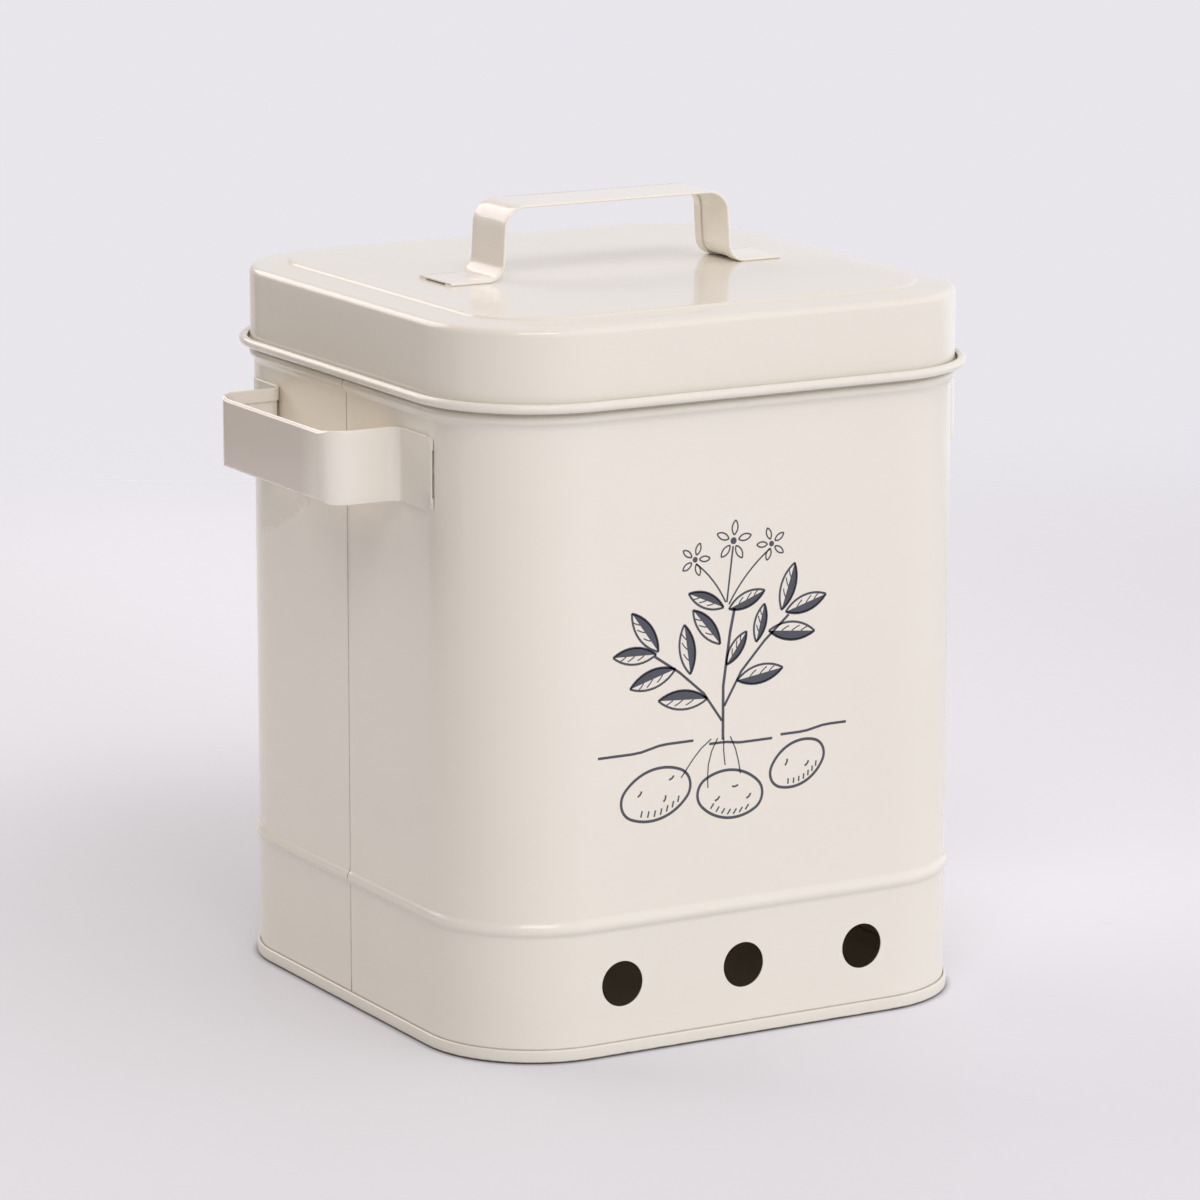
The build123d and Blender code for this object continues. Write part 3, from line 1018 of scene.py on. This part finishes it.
# %% The handles' and the base rim's own finishes
# Painted shade on the outside of the side grips and tabs.
GRIP_SHADE_TINT, TAB_FACE_SHADE_TINT = (0.745, 0.69, 0.61), (0.755, 0.72, 0.63)
FOOT_SHADOW_TINT = (0.16, 0.13, 0.10)
handle_enamel, tree, shader = coat("handle_enamel", STRAP_CREAM, *SPRAYED)
across, along = place_in(tree)[:2]
from_middle = far_from(tree, across, 0)
out_of_grip = within(tree, far_from(tree, from_middle, HALF + SIDE_REACH), 0.3, 2.0)
mid_grip = within(tree, far_from(tree, along, SIDE_SHIFT + 12), 38, 14)
# Painted shade: the outside of each side grip is darker.
paint_over(tree, shader, times(tree, out_of_grip, mid_grip), GRIP_SHADE_TINT)
# Painted shade: the outer faces of the tabs are darker.
out_of_tab = within(tree, far_from(tree, from_middle, HALF + STRAP_THICKNESS), 0.15, 0.5)
paint_over(tree, shader, out_of_tab, TAB_FACE_SHADE_TINT)
print("handle enamel has", len(tree.nodes), "nodes")

rim_enamel, tree, shader = coat("rim_enamel", CREAM, *SPRAYED)
# Painted contact shadow: the foot of the rim is darkened where it meets the table.
foot_contact_shadow = within(tree, place_in(tree)[2], 0.35, 0.5, 0.6)
paint_over(tree, shader, foot_contact_shadow, FOOT_SHADOW_TINT)
print("rim enamel has", len(tree.nodes), "nodes")

# %% Hand out the finishes
finish_of = {"body_wall": wall_enamel, "base_plate": rim_enamel, "lid_cover": enamel}
pieces_of = {
    "bin": {
        "body_wall": wall, "base_plate": base,
        "side_handle_left": left_handle, "side_handle_right": right_handle,
    },
    "lid": {"lid_cover": lid, "lid_handle": top_handle},
}
for body, made in pieces_of.items():
    for node, piece in made.items():
        piece.data.materials.clear()
        piece.data.materials.append(finish_of.get(node, handle_enamel))
        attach(piece, body)
        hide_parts(node)
plant_print.data.materials.clear()
plant_print.data.materials.append(ink)
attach(plant_print, "bin")
print("finished", [piece.name for made in pieces_of.values() for piece in made.values()])

# %% [markdown]
# ## Table, light and camera
#
# The tin stands on a pale table in a pale room. Far behind the tin the table fades to clear, so
# that no strong horizon crosses the picture from the front; a very faint line is left on the right.
# The table's colour carries painted shadow: darker on its left and behind the tin, and darker still
# in a thin painted contact shadow round the rim.
#
# A wide soft box above the front draws the bright lines on bends, and a second one behind lights
# the lid's panel. The room is brighter towards the right and the front, dimmer and redder the other
# way, with a soft cooler glow behind the tin. The plain backdrop is shown to the camera alone, so
# reflections mirror the room and not the backdrop. Two dark cards stand beyond the left side, so
# that the glossy left wall has something darker to mirror. A very weak warm lamp inside keeps the
# vents from reading as pure black.

# %% The table and its painted shadows
TABLE_RADIUS = 6.0
TABLE_SIDES = 96
TABLE_DROP = 0.0002
TONE_WAY = (1.0, -0.15, 0.0)
SHADOWED_LEFT_TONE, RIGHT_TONE = (0.755, 0.77, 0.79), (0.86, 0.87, 0.905)
SHADE_MIDDLE, SHADE_LEVEL = (-0.08, 0.24, 0.0), 0.88
RIM_SHADOW_LEVEL = 0.6
bpy.ops.object.select_all(action="DESELECT")
bpy.ops.mesh.primitive_circle_add(
    vertices=TABLE_SIDES, radius=TABLE_RADIUS, fill_type="NGON", location=(0, 0, -TABLE_DROP)
)
table = bpy.context.object
table.name = "table"
bpy.ops.object.transform_apply(location=True, rotation=True, scale=True)
table_finish, tree, shader = new_finish("pale_table")
shader.inputs["Roughness"].default_value = 0.6
where = add_node(tree, "TexCoord")
# Painted shadow: the table is darker to the left of the tin, and in a soft patch behind its left
# side.
rightward = add_node(
    tree, "VectorMath", {0: where.outputs["Object"], 1: TONE_WAY}, operation="DOT_PRODUCT"
)
to_the_right = add_node(
    tree, "MapRange", {"Value": rightward.outputs["Value"], "From Min": -0.12, "From Max": 0.17},
    interpolation_type="SMOOTHSTEP",
)
pale = add_node(
    tree, "MixRGB",
    {"Fac": to_the_right.outputs[0], "Color1": (*SHADOWED_LEFT_TONE, 1), "Color2": (*RIGHT_TONE, 1)},
)
behind = add_node(
    tree, "VectorMath", {0: where.outputs["Object"], 1: SHADE_MIDDLE}, operation="DISTANCE"
)
shadow = add_node(
    tree, "MapRange",
    {
        "Value": behind.outputs["Value"], "From Min": 0.03, "From Max": 0.3,
        "To Min": SHADE_LEVEL, "To Max": 1.0,
    },
    interpolation_type="SMOOTHSTEP",
)
shaded = add_node(
    tree, "VectorMath", {0: pale.outputs[0], "Scale": shadow.outputs[0]}, operation="SCALE"
)
# Painted contact shadow: a thin darker ring round the tin's footprint.
folded = add_node(tree, "VectorMath", {0: where.outputs["Object"]}, operation="ABSOLUTE")
past = add_node(
    tree, "VectorMath", {0: folded.outputs[0], 1: (CORNER_MIDDLE * MM, CORNER_MIDDLE * MM, 0)},
    operation="SUBTRACT",
)
outside = add_node(tree, "VectorMath", {0: past.outputs[0], 1: (0, 0, 0)}, operation="MAXIMUM")
gap = add_node(tree, "VectorMath", {0: outside.outputs[0]}, operation="LENGTH")
contact = add_node(
    tree, "MapRange",
    {
        "Value": gap.outputs["Value"],
        "From Min": (CORNER + 0.5) * MM, "From Max": (CORNER + 5) * MM,
        "To Min": RIM_SHADOW_LEVEL, "To Max": 1.0,
    },
    interpolation_type="SMOOTHSTEP",
)
contact_shaded = add_node(
    tree, "VectorMath", {0: shaded.outputs[0], "Scale": contact.outputs[0]}, operation="SCALE"
)
tree.links.new(contact_shaded.outputs[0], shader.inputs["Base Color"])
print("table tones go from", SHADOWED_LEFT_TONE, "to", RIGHT_TONE)

# %% How the table fades out
VIEW_WAY = (0.498, 0.867, 0.0)
FADE_START, FADE_END = 0.7, 1.3
depth = add_node(
    tree, "VectorMath", {0: where.outputs["Object"], 1: VIEW_WAY}, operation="DOT_PRODUCT"
)
fade = add_node(
    tree, "MapRange",
    {
        "Value": depth.outputs["Value"], "From Min": FADE_START, "From Max": FADE_END,
        "To Min": 0.0, "To Max": 1.0,
    },
    interpolation_type="SMOOTHSTEP",
)
clear = add_node(tree, "BsdfTransparent")
mix = add_node(tree, "MixShader", {0: fade.outputs[0], 1: shader.outputs[0], 2: clear.outputs[0]})
tree.links.new(mix.outputs[0], tree.nodes["Material Output"].inputs["Surface"])
table.data.materials.append(table_finish)
print("table fades out from", FADE_START, "m to", FADE_END, "m behind the tin")

# %% Two dark cards beyond the left side
CARD_HEIGHT = 0.4
CARD_COLOUR = (0.03, 0.025, 0.022)
card_finish, tree, shader = new_finish("dark_card")
shader.inputs["Base Color"].default_value = (*CARD_COLOUR, 1)
shader.inputs["Roughness"].default_value = 0.9


def stand_card(name, start, end):
    """An upright card on the table between two places, out of the camera's sight."""
    line = Vector(end) - Vector(start)
    middle = (Vector(end) + Vector(start)) / 2
    bpy.ops.object.select_all(action="DESELECT")
    bpy.ops.mesh.primitive_plane_add(size=1.0, location=(0, 0, 0))
    card = bpy.context.object
    card.name = name
    card.scale = (line.length, CARD_HEIGHT, 1.0)
    card.rotation_euler = (math.radians(90), 0, math.atan2(line.y, line.x))
    card.location = (middle.x, middle.y, CARD_HEIGHT / 2)
    bpy.ops.object.transform_apply(location=True, rotation=True, scale=True)
    card.data.materials.append(card_finish)
    card.visible_camera = False
    return line.length


far_card = stand_card("far_card", (-0.294, 1.258), (-0.86, 1.04))
near_card = stand_card("near_card", (-0.617, 0.727), (-1.085, 0.104))
print("dark cards are", round(far_card, 2), "and", round(near_card, 2), "m long")

# %% The room
BRIGHT_WAY, ROOM_LEVEL = (0.46, -0.28, -0.24), 0.81
GLOW_WAY, GLOW_GAIN = (0.64, 0.77, 0.0), 0.04
LEFT_TINT, RIGHT_TINT = (1.05, 0.92, 0.90), (1.0, 0.985, 1.03)
GLOW_TINT = (0.97, 0.97, 1.04)
BACKDROP_COLOUR = (0.81, 0.79, 0.835)
world = bpy.data.worlds.new("white_room")
bpy.context.scene.world = world
world.use_nodes = True
room = world.node_tree
light_paths = add_node(room, "LightPath")
towards = add_node(room, "TexCoord")
looking = towards.outputs["Generated"]
lean = add_node(room, "VectorMath", {0: looking, 1: BRIGHT_WAY}, operation="DOT_PRODUCT")
back_wall = add_node(room, "VectorMath", {0: looking, 1: GLOW_WAY}, operation="DOT_PRODUCT")
back_light = add_node(
    room, "MapRange",
    {
        "Value": back_wall.outputs["Value"], "From Min": 0.65, "From Max": 0.95,
        "To Min": 0.0, "To Max": 1.0,
    },
    interpolation_type="SMOOTHSTEP",
)
even = add_node(room, "Math", {0: lean.outputs["Value"], 1: ROOM_LEVEL}, operation="ADD")
brightness = add_node(
    room, "Math", {0: back_light.outputs[0], 1: GLOW_GAIN, 2: even.outputs[0]},
    operation="MULTIPLY_ADD",
)
warm_side = add_node(
    room, "MapRange", {"Value": lean.outputs["Value"], "From Min": -0.3, "From Max": 0.2}
)
tone = add_node(
    room, "MixRGB",
    {"Fac": warm_side.outputs[0], "Color1": (*LEFT_TINT, 1), "Color2": (*RIGHT_TINT, 1)},
)
cool = add_node(
    room, "MixRGB",
    {"Fac": back_light.outputs[0], "Color1": tone.outputs[0], "Color2": (*GLOW_TINT, 1)},
)
room_light = room.nodes["Background"]
room.links.new(cool.outputs[0], room_light.inputs["Color"])
room.links.new(brightness.outputs[0], room_light.inputs["Strength"])
backdrop = add_node(room, "Background", {"Color": (*BACKDROP_COLOUR, 1), "Strength": 1.0})
seen = add_node(
    room, "MixShader",
    {0: light_paths.outputs["Is Camera Ray"], 1: room_light.outputs[0], 2: backdrop.outputs[0]},
)
room.links.new(seen.outputs[0], room.nodes["World Output"].inputs["Surface"])
print("room has", len(room.nodes), "nodes")

# %% The lamps
AIM = Vector((0, 0, 0.2))


def soft_box(name, width, tall, power, way, away, colour):
    """A soft lamp that faces the tin from a direction."""
    lamp = bpy.data.lights.new(name, "AREA")
    lamp.shape = "RECTANGLE"
    lamp.size = width
    lamp.size_y = tall
    lamp.energy = power
    lamp.color = colour
    stand = bpy.data.objects.new(name, lamp)
    stand.location = AIM + Vector(way).normalized() * away
    stand.rotation_euler = Vector(way).to_track_quat("Z", "Y").to_euler()
    stand.visible_camera = False
    bpy.context.scene.collection.objects.link(stand)
    print(name, width, "by", tall, "m,", power, "W")


soft_box(
    "front_box", width=1.1, tall=0.7, power=10.5,
    way=(-0.27, -0.61, 0.743), away=2.0, colour=(1.0, 0.98, 1.02),
)
glow = bpy.data.lights.new("inside_glow", "POINT")
glow.energy = 0.006
glow.color = (1.0, 0.72, 0.52)
glow.shadow_soft_size = 0.04
lantern = bpy.data.objects.new("inside_glow", glow)
lantern.location = (0, 0, 0.12)
lantern.visible_camera = False
bpy.context.scene.collection.objects.link(lantern)
soft_box(
    "back_box", width=1.3, tall=0.9, power=10.0,
    way=(-0.34, 0.78, 0.53), away=1.6, colour=(1.0, 0.94, 0.93),
)

# %% The camera
FOCAL_LENGTH = 167.06
CAMERA_PLACE = (-1.1483, -2.0015, 0.6563)
CAMERA_GAZE = (0.4868, 0.8479, -0.2103)
CAMERA_ROLL = 0.061
lens = bpy.data.cameras.new("camera")
lens.lens = FOCAL_LENGTH
lens.sensor_width = 36.0
lens.clip_end = 50.0
camera = bpy.data.objects.new("camera", lens)
bpy.context.scene.collection.objects.link(camera)
gaze = Vector(CAMERA_GAZE).normalized()
turn = gaze.to_track_quat("-Z", "Y").to_matrix().to_4x4()
roll = Matrix.Rotation(math.radians(CAMERA_ROLL), 4, "Z")
camera.matrix_world = Matrix.Translation(CAMERA_PLACE) @ turn @ roll
bpy.context.scene.camera = camera
bpy.context.scene.view_settings.view_transform = "Standard"
print("camera at", CAMERA_PLACE, "m, focal length", FOCAL_LENGTH, "mm")

# %% [markdown]
# ## Close
#

# %% Update the view layer
bpy.context.view_layer.update()
